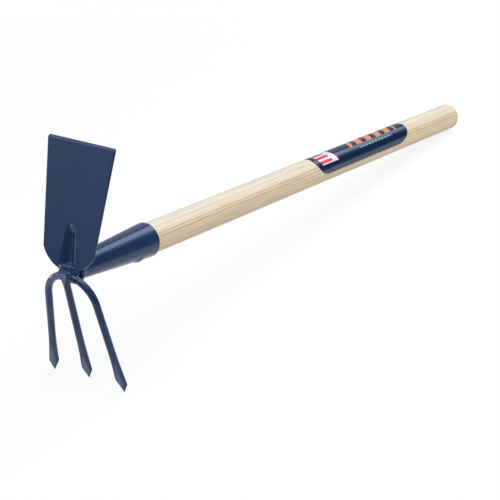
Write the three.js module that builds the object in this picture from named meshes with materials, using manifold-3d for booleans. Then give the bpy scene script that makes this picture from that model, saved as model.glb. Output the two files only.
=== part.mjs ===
// Double hoe: an ash handle in a rolled steel socket, with a flat blade above and a three-tine fork below.
//
// Each piece is modelled in the head's frame, in millimetres: +X runs along the handle from the head to
// the butt, +Y to the left and +Z up the blade, and the origin is where the handle's axis meets the plane
// of the blade's front face. The whole tool is then turned to lie as it does on the ground, on the
// points of its outer tines and the lower edge of its butt.

import * as THREE from 'three';
import { mergeVertices } from 'three/addons/utils/BufferGeometryUtils.js';
import Module from 'manifold-3d';

const wasm = await Module();
wasm.setup();

// Clearances

const weldGap = 0.3; // between pieces that are welded, driven or glued together
const wallShare = 0.7; // of a gap measured straight through a steep wall that is left square to it

// Handle

const handleDiameter = 30;
const handleLength = 690;
const handleInsertion = 82; // how deep the tapered nose goes into the socket
const buttChamfer = 1.2;

// Socket

const socketLength = 103;
const socketWall = 1.5;
const socketEndDiameter = 21.4; // outside, at the narrow end
const socketSetback = 12.4; // from the blade's front plane to the narrow end

// Neck, the solid plug that closes the socket's narrow end

const neckPlugLength = 15;
const neckNoseDiameter = 16;
const neckNoseSetback = 3.2; // from the blade's front plane

// Blade

const bladeHeight = 115.8;
const bladeEdgeWidth = 74.8; // at the cutting edge
const bladeSideSlope = THREE.MathUtils.degToRad(5.5);
const bladeThickness = 2.1;
const bladeLean = THREE.MathUtils.degToRad(10); // back towards the handle, from square to it
const bladeRootRise = 1; // of its lower edge, above the handle's axis
const bladeArcHeight = 18.5; // of the round lower edge, which meets the sides at an angle
const bladeCornerRadius = 1.8;
const bevelHeight = 2.5;
const bevelLand = 0.7; // thickness left at the cutting edge
const grooveLength = 43.4;
const grooveHalfWidth = 10.8; // at the blade's lower edge
const grooveTaper = THREE.MathUtils.degToRad(7.2); // of each flank
const grooveDepth = 5;
const grooveEndDepth = 3.6; // of its floor, where the end wall begins
const grooveLipPower = 2; // the higher, the broader the rounding of its lips

// Fork

const barDiameter = 6.8;
const forkDrop = 115; // from the handle's axis down to the outer points
const forkReach = 34.2; // from the blade's front plane back to the points
const forkSpread = 81.8; // from one outer point to the other
const outerSplay = THREE.MathUtils.degToRad(8.7);
const crownDrop = 4; // of the top of the outer bars' arch, below the handle's axis
const crownSetback = 3; // of the same, behind the blade's front plane
const middleDrop = 112.2;

// Spear points

const spearLength = 44; // from the point up to where the bar is round again
const spearPointLength = 11.2;
const spearWidth = 11.6;
const spearThickness = 3;
const spearSquareness = 3.6; // of its broadest section, where 2 is round and more is boxier
const spearFlarePower = 1.8; // the higher, the later the bar flares
const spearSlantShare = 0.43; // of a distance out, how much lower an outer spear's shoulder is there
const spearTipShare = 0.015; // of the spear's length, cut off the tip

// Forged head of the middle tine, which sits in the foot of the blade's groove

const headRise = 6.6; // of its top, above the handle's axis
const headSetback = 0.8; // of its top's middle, behind the blade's front plane
const headDrop = 14; // of its foot, where the bar is round again
const headFootSetback = 2.5; // of the same, behind the blade's front plane
const headHalfWidth = 7.3;
const headHalfThickness = 3.4;

// Welds

const socketBeadRadius = 2; // round the socket's narrow end
const bladeBeadRadius = 1.9; // between the blade's back and the neck
const grooveBeadRadius = 1.4; // across the groove's foot
const grooveBeadHalfLength = 5.6;
const rootBeadWidth = 3.4; // along each outer tine, from the forged head's side
const rootBeadThickness = 2;
const rootBeadEdge = 0.5; // thickness where it runs out

// Nail

const nailHeadDiameter = 12;
const nailHeadHeight = 1.3;
const nailShankDiameter = 3.2;
const nailShankLength = 15;
const nailFromMouth = 21.2;
const nailAngle = THREE.MathUtils.degToRad(-56); // from level on the tool's right side, up

// Label

const labelLength = 201;
const labelFromButt = 122.4;
const labelThickness = 0.25;
const labelLowAngle = THREE.MathUtils.degToRad(-5); // measured as the nail's angle is
const labelHighAngle = THREE.MathUtils.degToRad(150);
const labelNearRound = 20; // how far the rounding takes off the end towards the head
const labelFarRound = 29;

// Counts of facets

const roundSides = 48;
const barSides = 12;
const bendSteps = 10;
const flareSteps = 4;
const grooveColumns = 14;
const flatColumns = 2;
const grooveRows = 14;
const rootRows = 8;
const flatRows = 2;
const beadSides = 8;
const beadSteps = 14;
const rootBeadSteps = 3;
const domeSteps = 4;
const labelRows = 22;

// Sizes that follow from those

const handleRadius = handleDiameter / 2;
const barRadius = barDiameter / 2;
const mouthX = socketSetback + socketLength;
const buttX = mouthX + handleLength - handleInsertion;
const socketMouthRadius = handleRadius + weldGap + socketWall;
const socketEndRadius = socketEndDiameter / 2;
const socketTaper = (socketMouthRadius - socketEndRadius) / socketLength;
const restAngle = Math.atan2(forkDrop - handleRadius, buttX - buttChamfer - forkReach);

function socketRadiusAt(x) {
  return socketEndRadius + (x - socketSetback) * socketTaper;
}

function boreRadiusAt(x) {
  return socketRadiusAt(x) - socketWall;
}

// Solids

// Turns a geometry inside out if its faces point inwards.
function outward(geometry) {
  const place = geometry.attributes.position;
  const index = geometry.index.array;
  const corners = [new THREE.Vector3(), new THREE.Vector3(), new THREE.Vector3()];
  let volume = 0;
  for (let i = 0; i < index.length; i += 3) {
    corners.forEach((corner, j) => corner.fromBufferAttribute(place, index[i + j]));
    volume += corners[0].dot(corners[1].cross(corners[2]));
  }
  if (volume < 0) {
    for (let i = 0; i < index.length; i += 3) {
      [index[i], index[i + 1]] = [index[i + 1], index[i]];
    }
  }
  return geometry;
}

// A closed solid through rings of points, all with the same count, and a flat fan over each end.
function loft(rings) {
  const count = rings[0].length;
  const points = rings.flat();
  const faces = [];
  for (let r = 0; r + 1 < rings.length; r += 1) {
    for (let i = 0; i < count; i += 1) {
      const a = r * count + i;
      const b = r * count + ((i + 1) % count);
      faces.push(a, b, b + count, a, b + count, a + count);
    }
  }
  const last = (rings.length - 1) * count;
  for (let i = 1; i + 1 < count; i += 1) {
    faces.push(0, i + 1, i, last, last + i, last + i + 1);
  }
  const geometry = new THREE.BufferGeometry().setFromPoints(points);
  geometry.setIndex(faces);
  return outward(geometry);
}

function bare(geometry) {
  geometry.deleteAttribute('normal');
  geometry.deleteAttribute('uv');
  return outward(mergeVertices(geometry));
}

// A turned solid on the X axis: the profile's points are [x, radius].
function turned(profile, sides = roundSides) {
  const points = profile.map(([x, radius]) => new THREE.Vector2(radius, x));
  const geometry = new THREE.LatheGeometry(points, sides);
  return bare(geometry).rotateZ(-Math.PI / 2);
}

function solidOf(geometry) {
  const mesh = new wasm.Mesh({
    numProp: 3,
    vertProperties: new Float32Array(geometry.attributes.position.array),
    triVerts: new Uint32Array(geometry.index.array),
  });
  return new wasm.Manifold(mesh);
}

function geometryOf(solid) {
  const mesh = solid.getMesh();
  const geometry = new THREE.BufferGeometry();
  geometry.setAttribute('position', new THREE.BufferAttribute(mesh.vertProperties, mesh.numProp));
  geometry.setIndex(new THREE.BufferAttribute(mesh.triVerts, 1));
  return geometry;
}

function without(geometry, ...tools) {
  let solid = solidOf(geometry);
  tools.forEach((tool) => {
    solid = solid.subtract(solidOf(tool));
  });
  return geometryOf(solid);
}

function joined(geometry, other) {
  return geometryOf(solidOf(geometry).add(solidOf(other)));
}

// Bars

// Half width and half thickness of a forged section, with its squareness: 2 is round, 1 a diamond.
function sectionRing(centre, tangent, halfWidth, halfThickness, squareness) {
  const front = new THREE.Vector3(-1, 0, 0);
  front.addScaledVector(tangent, -front.dot(tangent)).normalize();
  const side = new THREE.Vector3().crossVectors(tangent, front);
  const ring = [];
  for (let i = 0; i < barSides; i += 1) {
    const angle = (2 * Math.PI * i) / barSides;
    const across = Math.sign(Math.cos(angle)) * Math.abs(Math.cos(angle)) ** (2 / squareness);
    const through = Math.sign(Math.sin(angle)) * Math.abs(Math.sin(angle)) ** (2 / squareness);
    ring.push(
      centre
        .clone()
        .addScaledVector(side, halfWidth * across)
        .addScaledVector(front, halfThickness * through),
    );
  }
  return ring;
}

// Rings of a spear point, from where the round bar ends down to the tip. On an outer tine, at a side of
// 1 or -1, the shoulders slant down outwards.
function spearRings(tip, tangent, grow, side = 0) {
  const pointShare = spearPointLength / spearLength;
  const stationShares = [];
  for (let i = 0; i <= flareSteps; i += 1) {
    stationShares.push(THREE.MathUtils.lerp(1, pointShare, i / flareSteps));
  }
  stationShares.push(spearTipShare);
  return stationShares.map((share) => {
    const distance = share * spearLength;
    const spread = Math.min(1, (1 - share) / (1 - pointShare)) ** spearFlarePower;
    const fade = Math.min(1, distance / spearPointLength);
    const width = THREE.MathUtils.lerp(barDiameter, spearWidth, spread) * fade;
    const thickness = THREE.MathUtils.lerp(barDiameter, spearThickness, spread) * fade;
    const squareness = THREE.MathUtils.lerp(2, spearSquareness, spread);
    const centre = tip.clone().addScaledVector(tangent, -distance);
    const ring = sectionRing(centre, tangent, width / 2 + grow, thickness / 2 + grow, squareness);
    const slantShare = spearSlantShare * side * spread;
    return ring.map((point) => point.addScaledVector(tangent, slantShare * (point.y - centre.y)));
  });
}

// The outer tines' centre lines lie in one plane that leans back from the crown to the points: an arch
// between two straight legs.
const outerLeanSlope = (forkReach - crownSetback) / (forkDrop - crownDrop);
const legSlope = Math.tan(outerSplay);
const legTopSpread = forkSpread / 2 - (forkDrop - crownDrop) * legSlope;
const crownRadius = (legTopSpread * Math.cos(outerSplay)) / (1 - Math.sin(outerSplay));

// A place on the arch, at an angle from its top, with the direction that the bar takes there.
function crownAt(side, angle) {
  const fall = crownRadius * (1 - Math.cos(angle));
  return {
    centre: new THREE.Vector3(
      crownSetback + fall * outerLeanSlope,
      side * crownRadius * Math.sin(angle),
      -crownDrop - fall,
    ),
    tangent: new THREE.Vector3(
      Math.sin(angle) * outerLeanSlope,
      side * Math.cos(angle),
      -Math.sin(angle),
    ).normalize(),
  };
}

// The angle at which the arch is a distance to the side of its top.
function crownAngle(distance) {
  return Math.asin(distance / crownRadius);
}

// An outer tine: its half of the arch, from the forged head, then straight down to its point.
function outerTine(side, grow = 0) {
  const radius = barRadius + grow;
  const rootAngle = crownAngle(headHalfWidth - barRadius);
  const rings = [];
  for (let i = 0; i <= bendSteps; i += 1) {
    const angle = THREE.MathUtils.lerp(rootAngle, Math.PI / 2 - outerSplay, i / bendSteps);
    const { centre, tangent } = crownAt(side, angle);
    rings.push(sectionRing(centre, tangent, radius, radius, 2));
  }
  const straight = new THREE.Vector3(outerLeanSlope, side * legSlope, -1).normalize();
  const tip = new THREE.Vector3(forkReach, (side * forkSpread) / 2, -forkDrop);
  rings.push(...spearRings(tip, straight, grow, side));
  return loft(rings);
}

// The middle tine: a broad forged head that narrows into the bar, then straight down to its point.
function middleTine(grow = 0) {
  const tip = new THREE.Vector3(forkReach, 0, -middleDrop);
  const foot = new THREE.Vector3(headFootSetback, 0, -headDrop);
  const straight = tip.clone().sub(foot).normalize();
  const top = new THREE.Vector3(headSetback, 0, headRise);
  const headLength = headRise + headDrop;
  const head = new THREE.CubicBezierCurve3(
    top,
    top.clone().add(new THREE.Vector3(-headSetback, 0, -headLength / 3)),
    foot.clone().addScaledVector(straight, -headLength / 3),
    foot,
  );
  const widthShares = [0.8, 0.97, 1, 0.97, 0.86, 0.6, 0.26, 0.06, 0]; // from the bar's to the head's
  const rings = widthShares.map((share, i) => {
    const t = i / (widthShares.length - 1);
    const halfWidth = THREE.MathUtils.lerp(barRadius, headHalfWidth, share);
    const halfThickness = THREE.MathUtils.lerp(barRadius, headHalfThickness, share);
    const tangent = head.getTangent(t);
    return sectionRing(head.getPoint(t), tangent, halfWidth + grow, halfThickness + grow, 2);
  });
  rings.push(...spearRings(tip, straight, grow));
  return loft(rings);
}

// Blade

const bladeRootHalfWidth = bladeEdgeWidth / 2 - bladeHeight * Math.tan(bladeSideSlope);
const arcHalfWidth = bladeRootHalfWidth + bladeArcHeight * Math.tan(bladeSideSlope);
const arcRadius = (arcHalfWidth ** 2 + bladeArcHeight ** 2) / (2 * bladeArcHeight);

// Half the blade's width at a height above its lower edge, which is an arc centred on the middle. Above
// it the sides flare straight, with small rounded corners at the cutting edge.
function bladeHalfWidthAt(height) {
  if (height < bladeArcHeight) {
    return Math.sqrt(arcRadius ** 2 - (arcRadius - height) ** 2);
  }
  const straight = bladeRootHalfWidth + height * Math.tan(bladeSideSlope);
  const over = Math.max(0, height - (bladeHeight - bladeCornerRadius));
  return straight - bladeCornerRadius + Math.sqrt(Math.max(0, bladeCornerRadius ** 2 - over ** 2));
}

// Depth of the pressed groove: straight flanks that draw together, a round end and rounded lips.
const grooveEndRadius =
  ((grooveHalfWidth - grooveLength * Math.tan(grooveTaper)) * Math.cos(grooveTaper))
  / (1 - Math.sin(grooveTaper));

function grooveDepthAt(height, y) {
  const endHeight = grooveLength - grooveEndRadius;
  const flank = (grooveHalfWidth - height * Math.tan(grooveTaper)) * Math.cos(grooveTaper);
  const beyond = Math.max(0, height - endHeight);
  const across = beyond > 0 ? Math.hypot(y, beyond) : Math.abs(y) * Math.cos(grooveTaper);
  const reach = beyond > 0 ? grooveEndRadius : flank;
  if (across >= reach) {
    return 0;
  }
  const floor = THREE.MathUtils.lerp(grooveDepth, grooveEndDepth, Math.min(1, height / endHeight));
  return floor * Math.cos((Math.PI * across) / (2 * reach)) ** grooveLipPower;
}

// The blade as a closed ring of front and back points at each height, in the blade's own frame. For
// cutting, its front or its back can be flat and reach out by a length instead.
function bladeGeometry(grow = 0, frontReach = 0, backReach = 0) {
  const heights = [];
  for (let i = 1; i <= rootRows; i += 1) {
    heights.push(bladeArcHeight * (i / rootRows) ** 2);
  }
  for (let i = 1; i <= grooveRows; i += 1) {
    heights.push(THREE.MathUtils.lerp(bladeArcHeight, grooveLength, i / grooveRows));
  }
  for (let i = 1; i <= flatRows; i += 1) {
    heights.push(THREE.MathUtils.lerp(grooveLength, bladeHeight - bevelHeight, i / flatRows));
  }
  heights.push(bladeHeight - bevelHeight / 2, bladeHeight);
  const innerShare = 0.9; // of the half width, the most that the groove's columns take
  const rings = heights.map((height, row) => {
    const halfWidth = bladeHalfWidthAt(height);
    const inner = Math.min(grooveHalfWidth, halfWidth * innerShare);
    const across = [];
    for (let i = -grooveColumns; i <= grooveColumns; i += 1) {
      across.push((inner * i) / grooveColumns);
    }
    for (let i = 1; i <= flatColumns; i += 1) {
      const y = THREE.MathUtils.lerp(inner, halfWidth + grow, i / flatColumns);
      across.push(y);
      across.unshift(-y);
    }
    const bevelShare = Math.max(0, (height - bladeHeight) / bevelHeight + 1);
    const bevel = bevelShare * (bladeThickness - bevelLand);
    let z = height;
    if (row === 0) {
      z -= grow;
    }
    if (row === heights.length - 1) {
      z += grow;
    }
    const front = across.map((y) => {
      const depth = grooveDepthAt(height, y) + bevel - grow;
      return new THREE.Vector3(frontReach > 0 ? -frontReach : depth, y, z);
    });
    const back = across.map((y) => {
      const depth = grooveDepthAt(height, y) + bladeThickness + grow;
      return new THREE.Vector3(backReach > 0 ? backReach : depth, y, z);
    });
    return [...front, ...back.reverse()];
  });
  return loft(rings);
}

function placedBlade(...shape) {
  const geometry = bladeGeometry(...shape);
  geometry.translate(0, 0, bladeRootRise / Math.cos(bladeLean));
  return geometry.rotateY(bladeLean);
}

// Socket and neck

function socketShell() {
  const frontX = socketSetback;
  return turned([
    [frontX, boreRadiusAt(frontX)],
    [frontX, socketRadiusAt(frontX)],
    [mouthX, socketRadiusAt(mouthX)],
    [mouthX, boreRadiusAt(mouthX)],
    [frontX, boreRadiusAt(frontX)],
  ]);
}

// The socket as if it were solid, for cutting what lies against its outside.
function socketBody(grow) {
  const frontX = socketSetback - grow;
  const backX = mouthX + grow;
  return turned([
    [frontX, 0],
    [frontX, socketRadiusAt(frontX) + grow],
    [backX, socketRadiusAt(backX) + grow],
    [backX, 0],
  ]);
}

function neckRadiusAt(x) {
  const share = (x - neckNoseSetback) / (socketSetback - neckNoseSetback);
  return THREE.MathUtils.lerp(neckNoseDiameter / 2, socketEndRadius, share);
}

function neckBody(grow = 0) {
  const plugX = socketSetback + neckPlugLength;
  const shoulderX = socketSetback - weldGap;
  return turned([
    [neckNoseSetback - grow, 0],
    [neckNoseSetback - grow, neckNoseDiameter / 2 + grow],
    [shoulderX + grow, neckRadiusAt(shoulderX) + grow],
    [shoulderX + grow, boreRadiusAt(socketSetback) - weldGap + grow],
    [plugX + grow, boreRadiusAt(plugX) - weldGap + grow],
    [plugX + grow, 0],
  ]);
}

// Everything in front of the blade's back, and everything behind its front, each kept clear by the gap.
const bladeReach = headHalfWidth + socketSetback;

function beforeBlade() {
  return placedBlade(weldGap / wallShare, bladeReach);
}

function behindBlade() {
  return placedBlade(weldGap / wallShare, 0, bladeReach);
}

// Nail

const nailX = mouthX - nailFromMouth;
const nailTurn = new THREE.Quaternion().setFromUnitVectors(
  new THREE.Vector3(0, 1, 0),
  new THREE.Vector3(
    -Math.sin(Math.atan(socketTaper)),
    -Math.cos(nailAngle),
    Math.sin(nailAngle),
  ).normalize(),
);
const nailSurface = new THREE.Vector3(
  nailX,
  -socketRadiusAt(nailX) * Math.cos(nailAngle),
  socketRadiusAt(nailX) * Math.sin(nailAngle),
);

function nailPlaced(geometry) {
  geometry.applyQuaternion(nailTurn);
  return geometry.translate(nailSurface.x, nailSurface.y, nailSurface.z);
}

function nailShank(grow) {
  const length = nailShankLength + nailHeadHeight / 2 + grow;
  const geometry = bare(
    new THREE.CylinderGeometry(
      nailShankDiameter / 2 + grow,
      nailShankDiameter / 2 + grow,
      length,
      barSides,
    ),
  );
  return nailPlaced(geometry.translate(0, nailHeadHeight / 2 - length / 2, 0));
}

// A low dome over a skirt that is cut to the socket's curve.
function nailHead() {
  const radius = nailHeadDiameter / 2;
  const skirt = nailHeadHeight;
  const profile = [new THREE.Vector2(0, -skirt), new THREE.Vector2(radius, -skirt)];
  for (let i = 0; i <= domeSteps; i += 1) {
    const angle = (Math.PI * i) / (2 * domeSteps);
    const x = i === domeSteps ? 0 : radius * Math.cos(angle);
    profile.push(new THREE.Vector2(x, nailHeadHeight * Math.sin(angle)));
  }
  const dome = bare(new THREE.LatheGeometry(profile, 2 * barSides));
  return without(nailPlaced(dome), socketBody(weldGap));
}

// Welds

// A bead of round section round the X axis: pathAt gives its centre's place along X and its distance
// from the axis at an angle.
function arcBead(pathAt, beadRadius, fromAngle, toAngle) {
  const rings = [];
  for (let i = 0; i <= beadSteps; i += 1) {
    const angle = THREE.MathUtils.lerp(fromAngle, toAngle, i / beadSteps);
    const out = new THREE.Vector3(0, Math.cos(angle), Math.sin(angle));
    const [x, radius] = pathAt(angle);
    const ring = [];
    for (let j = 0; j < beadSides; j += 1) {
      const turn = (2 * Math.PI * j) / beadSides;
      const point = out.clone().multiplyScalar(radius + beadRadius * Math.cos(turn));
      point.x = x + beadRadius * Math.sin(turn);
      ring.push(point);
    }
    rings.push(ring);
  }
  return loft(rings);
}

// A rounded ring that covers the joint between the socket's narrow end and the neck.
function socketBeadBody(grow = 0) {
  const radius = socketBeadRadius + grow;
  const inner = neckNoseDiameter / 2;
  const profile = [[socketSetback - radius, inner]];
  for (let i = 0; i <= beadSides; i += 1) {
    const angle = (Math.PI * i) / beadSides;
    profile.push([
      socketSetback - radius * Math.cos(angle),
      socketEndRadius + radius * Math.sin(angle),
    ]);
  }
  profile.push([socketSetback + radius, inner], profile[0]);
  return turned(profile);
}

// The seam where the neck meets the blade's back, over the rib that the groove raises there.
function bladeBeadBody(grow = 0) {
  const seam = (angle) => {
    const rise = socketEndRadius * Math.sin(angle);
    const height = Math.max(0, (rise - bladeRootRise) / Math.cos(bladeLean));
    const depth = grooveDepthAt(height, socketEndRadius * Math.cos(angle)) + bladeThickness;
    const x = rise * Math.tan(bladeLean) + depth / Math.cos(bladeLean);
    return [x, neckRadiusAt(x) + bladeBeadRadius / 2];
  };
  const edgeRise = bladeRootRise + arcRadius - Math.sqrt(arcRadius ** 2 - socketEndRadius ** 2);
  const lowAngle = Math.asin((edgeRise + bladeBeadRadius) / socketEndRadius);
  return arcBead(seam, bladeBeadRadius + grow, lowAngle, Math.PI - lowAngle);
}

function bladeBead() {
  return without(bladeBeadBody(), beforeBlade(), neckBody(weldGap), socketBody(weldGap));
}

function socketBead() {
  return without(
    socketBeadBody(),
    socketBody(weldGap),
    neckBody(weldGap),
    outerTine(1, weldGap),
    outerTine(-1, weldGap),
    beforeBlade(),
    bladeBeadBody(weldGap),
  );
}

// A lump across the groove's foot, over the top of the forged head.
function grooveBead() {
  const lump = bare(new THREE.SphereGeometry(1, 2 * beadSides, beadSides));
  lump.scale(grooveBeadRadius, grooveBeadHalfLength, grooveBeadRadius);
  lump.translate(headSetback + grooveBeadRadius / 2, 0, headRise + grooveBeadRadius / 2);
  return without(lump, behindBlade(), middleTine(weldGap));
}

// A bead round an outer tine's root: thick against the forged head, and thinner as it runs out.
function rootBead(side) {
  const fromAngle = crownAngle(headHalfWidth - barRadius);
  const toAngle = crownAngle(headHalfWidth + rootBeadWidth);
  const rings = [];
  for (let i = 0; i <= rootBeadSteps; i += 1) {
    const { centre, tangent } = crownAt(side, THREE.MathUtils.lerp(fromAngle, toAngle, i / rootBeadSteps));
    const thickness = THREE.MathUtils.lerp(rootBeadThickness, rootBeadEdge, i / rootBeadSteps);
    const radius = barRadius + weldGap + thickness;
    rings.push(sectionRing(centre, tangent, radius, radius, 2));
  }
  return without(
    loft(rings),
    outerTine(side, weldGap),
    middleTine(weldGap),
    placedBlade(weldGap),
    neckBody(weldGap),
    socketBeadBody(weldGap),
  );
}

// Handle

function handleGeometry() {
  const noseX = mouthX - handleInsertion;
  const stave = turned([
    [noseX, 0],
    [noseX, boreRadiusAt(noseX) - weldGap],
    [mouthX, handleRadius],
    [buttX - buttChamfer, handleRadius],
    [buttX, handleRadius - buttChamfer],
    [buttX, 0],
  ]);
  return without(stave, nailShank(weldGap));
}

// Label

// A film wrapped on the handle: each ring crosses it from end to end, and both ends are rounded.
function labelGeometry() {
  const nearX = buttX - labelFromButt - labelLength;
  const farX = buttX - labelFromButt;
  const inner = handleRadius + weldGap;
  const outer = inner + labelThickness;
  const rings = [];
  for (let i = 0; i <= labelRows; i += 1) {
    const swing = THREE.MathUtils.lerp(-Math.PI / 2, Math.PI / 2, i / labelRows);
    const share = (1 + Math.sin(swing)) / 2;
    const angle = THREE.MathUtils.lerp(labelLowAngle, labelHighAngle, share);
    const cut = 1 - Math.cos(swing);
    const ends = [nearX + labelNearRound * cut, farX - labelFarRound * cut];
    const across = new THREE.Vector3(0, -Math.cos(angle), Math.sin(angle));
    const point = (x, radius) => across.clone().multiplyScalar(radius).setX(x);
    rings.push([
      point(ends[0], inner),
      point(ends[1], inner),
      point(ends[1], outer),
      point(ends[0], outer),
    ]);
  }
  return loft(rings);
}

// Assembly

const paint = new THREE.Color('#33436a');
const ash = new THREE.Color('#e3d3b0');
const film = new THREE.Color('#243556');

function piece(name, geometry, color, roughness, metalness) {
  const material = new THREE.MeshStandardMaterial({ color, roughness, metalness });
  const mesh = new THREE.Mesh(geometry, material);
  mesh.name = name;
  return mesh;
}

function painted(name, geometry) {
  return piece(name, geometry, paint, 0.35, 0);
}

const tool = new THREE.Group();
tool.name = 'tool';
tool.add(
  piece('handle', handleGeometry(), ash, 0.6, 0),
  piece('handle_label', labelGeometry(), film, 0.4, 0),
  painted('socket', without(socketShell(), nailShank(weldGap))),
  painted('neck', without(
    neckBody(),
    beforeBlade(),
    outerTine(1, weldGap),
    outerTine(-1, weldGap),
    middleTine(weldGap),
  )),
  painted('blade', placedBlade()),
  painted('tine_left', without(outerTine(1), middleTine(weldGap))),
  painted('tine_middle', without(middleTine(), behindBlade())),
  painted('tine_right', without(outerTine(-1), middleTine(weldGap))),
  painted('socket_nail', joined(nailHead(), nailShank(0))),
  painted('weld_socket', socketBead()),
  painted('weld_blade', bladeBead()),
  painted('weld_groove', grooveBead()),
  painted('weld_tine_left', rootBead(1)),
  painted('weld_tine_right', rootBead(-1)),
);
tool.rotation.y = restAngle;

// The origin is the middle of the tool's footprint, on the ground.
const bounds = new THREE.Box3().setFromObject(tool, true);
const middle = bounds.getCenter(new THREE.Vector3());
tool.position.set(-middle.x, -middle.y, -bounds.min.z);

const hoe = new THREE.Group();
hoe.name = 'double_hoe';
hoe.add(tool);

export default hoe;
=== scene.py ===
import bpy
import bmesh
import numpy as np
from mathutils import Matrix, Vector


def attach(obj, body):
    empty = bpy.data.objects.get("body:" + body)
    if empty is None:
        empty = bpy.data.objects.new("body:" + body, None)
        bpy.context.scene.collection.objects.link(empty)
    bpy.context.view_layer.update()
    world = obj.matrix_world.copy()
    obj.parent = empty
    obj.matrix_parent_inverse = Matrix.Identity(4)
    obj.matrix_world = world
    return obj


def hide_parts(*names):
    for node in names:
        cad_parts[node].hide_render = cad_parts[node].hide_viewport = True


# A hand hoe with a blade and a fork, in glossy navy paint, on an ash handle with a printed film.
# Shapes are worked out in millimetres in the head's frame: x along the handle to the butt, y to the
# left and z up the blade, from where the handle's axis meets the blade's front plane. Angles are in
# degrees where no note says otherwise.

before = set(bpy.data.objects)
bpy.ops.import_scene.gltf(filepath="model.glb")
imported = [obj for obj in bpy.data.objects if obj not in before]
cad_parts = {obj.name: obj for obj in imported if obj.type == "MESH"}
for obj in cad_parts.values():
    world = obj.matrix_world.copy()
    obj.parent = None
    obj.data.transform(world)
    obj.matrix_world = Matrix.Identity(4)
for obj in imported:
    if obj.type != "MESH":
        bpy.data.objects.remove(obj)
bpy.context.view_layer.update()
print("loaded the CAD frame")

headFrame = {
    "angle": 0.14433805870627675,  # how far the handle falls towards the butt, in radians
    "shift": (-357.1775, 0.0, 118.7234),  # the head frame's origin, in the row's frame
}
fallCos, fallSin = np.cos(headFrame["angle"]), np.sin(headFrame["angle"])


# Millimetres in the head's frame, turned about y and shifted, to metres in the row's frame.
def toRow(points):
    points = np.asarray(points, float)
    x, y, z = points[..., 0], points[..., 1], points[..., 2]
    turnedPoints = np.stack([x * fallCos + z * fallSin, y, z * fallCos - x * fallSin], axis=-1)
    return (turnedPoints + np.array(headFrame["shift"])) / 1000


# Making meshes

meshing = {
    "sharpAngle": 35.0,  # degrees, past which an edge is drawn sharp
    "merge": 1e-4,  # mm, within which two points become one
    "shortest": 1e-8,  # m, under which an edge is dissolved
}


# A piece from points in the head's frame: doubles merged, faces outwards, smooth but for its
# sharp edges.
def makeMesh(name, points, faces, sharpAngle=meshing["sharpAngle"], merge=meshing["merge"]):
    mesh = bpy.data.meshes.new(name)
    mesh.from_pydata(toRow(points).tolist(), [], faces)
    shape = bmesh.new()
    shape.from_mesh(mesh)
    bmesh.ops.remove_doubles(shape, verts=shape.verts, dist=merge / 1000)
    bmesh.ops.dissolve_degenerate(shape, edges=shape.edges, dist=meshing["shortest"])
    bmesh.ops.recalc_face_normals(shape, faces=shape.faces)
    shape.to_mesh(mesh)
    shape.free()
    mesh.shade_smooth()
    mesh.set_sharp_from_angle(angle=np.radians(sharpAngle))
    piece = bpy.data.objects.new(name, mesh)
    bpy.context.scene.collection.objects.link(piece)
    return piece


# Quads over a grid of points, joined round into a ring where closed, and turned over where flipped.
def gridFaces(rows, columns, closed=True, start=0, flipped=False):
    index = start + np.arange(rows * columns).reshape(rows, columns)
    near = index if closed else index[:, :-1]
    far = np.roll(index, -1, axis=1) if closed else index[:, 1:]
    quads = np.stack([near[:-1], far[:-1], far[1:], near[1:]], axis=-1).reshape(-1, 4)
    return (quads[:, ::-1] if flipped else quads).tolist()


# Points and faces of a tube through rings, an array of rings by places by 3, with one face over
# each end where capped.
def lofted(rings, capped=True):
    rows, columns = rings.shape[:2]
    faces = gridFaces(rows, columns)
    if capped:
        faces.append(list(range(columns))[::-1])
        faces.append(list(range((rows - 1) * columns, rows * columns)))
    return rings.reshape(-1, 3), faces


# A surface of revolution round x: each profile point (x, radius) carried round in a circle.
def turned(profile, sides):
    profile = np.asarray(profile, float)
    turn = np.linspace(0, 2 * np.pi, sides, endpoint=False)
    x = np.repeat(profile[:, :1], sides, axis=1)
    y = profile[:, 1:] * np.cos(turn)
    z = profile[:, 1:] * np.sin(turn)
    return np.stack([x, y, z], axis=-1)


# A curve that takes the corner off a profile: a parabola that leaves each side at the radius from
# the corner and bends towards the corner between them.
def roundedCorner(corner, towards, after, radius, steps=6):
    corner, towards, after = (np.asarray(p, float) for p in (corner, towards, after))
    into = (towards - corner) / np.linalg.norm(towards - corner)
    out = (after - corner) / np.linalg.norm(after - corner)
    share = np.linspace(0, 1, steps + 1)[:, None]
    start, end = corner + into * radius, corner + out * radius
    return (1 - share) ** 2 * start + 2 * share * (1 - share) * corner + share ** 2 * end


# Vectors at a length of 1.
def unit(vectors):
    return vectors / np.linalg.norm(vectors, axis=-1, keepdims=True)


# From 0 to 1 with no kink: three times the square less twice the cube.
def smoothStep(value):
    value = np.clip(value, 0, 1)
    return value * value * (3 - 2 * value)


rippling = {
    "sines": 6,
    "lengths": (0.7, 1.5),  # how long each sine may be, as shares of the given length
}


# A gentle unevenness from -1 to 1: the mean of a few sines of the place along random directions.
def ripple(points, wavelength, seed):
    rng = np.random.default_rng(seed)
    total = np.zeros(points.shape[:-1])
    for _ in range(rippling["sines"]):
        direction = rng.normal(size=3)
        direction /= np.linalg.norm(direction)
        phase = rng.uniform(0, 2 * np.pi)
        length = wavelength * rng.uniform(*rippling["lengths"])
        total += np.sin(2 * np.pi * (points @ direction) / length + phase)
    return total / rippling["sines"]


# Materials


# An sRGB hex colour as the linear one that Blender's sockets take.
def linear(hexColour):
    srgb = np.array([int(hexColour[i:i + 2], 16) for i in (1, 3, 5)]) / 255
    value = np.where(srgb <= 0.04045, srgb / 12.92, ((srgb + 0.055) / 1.055) ** 2.4)
    return (*value.tolist(), 1.0)


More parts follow.
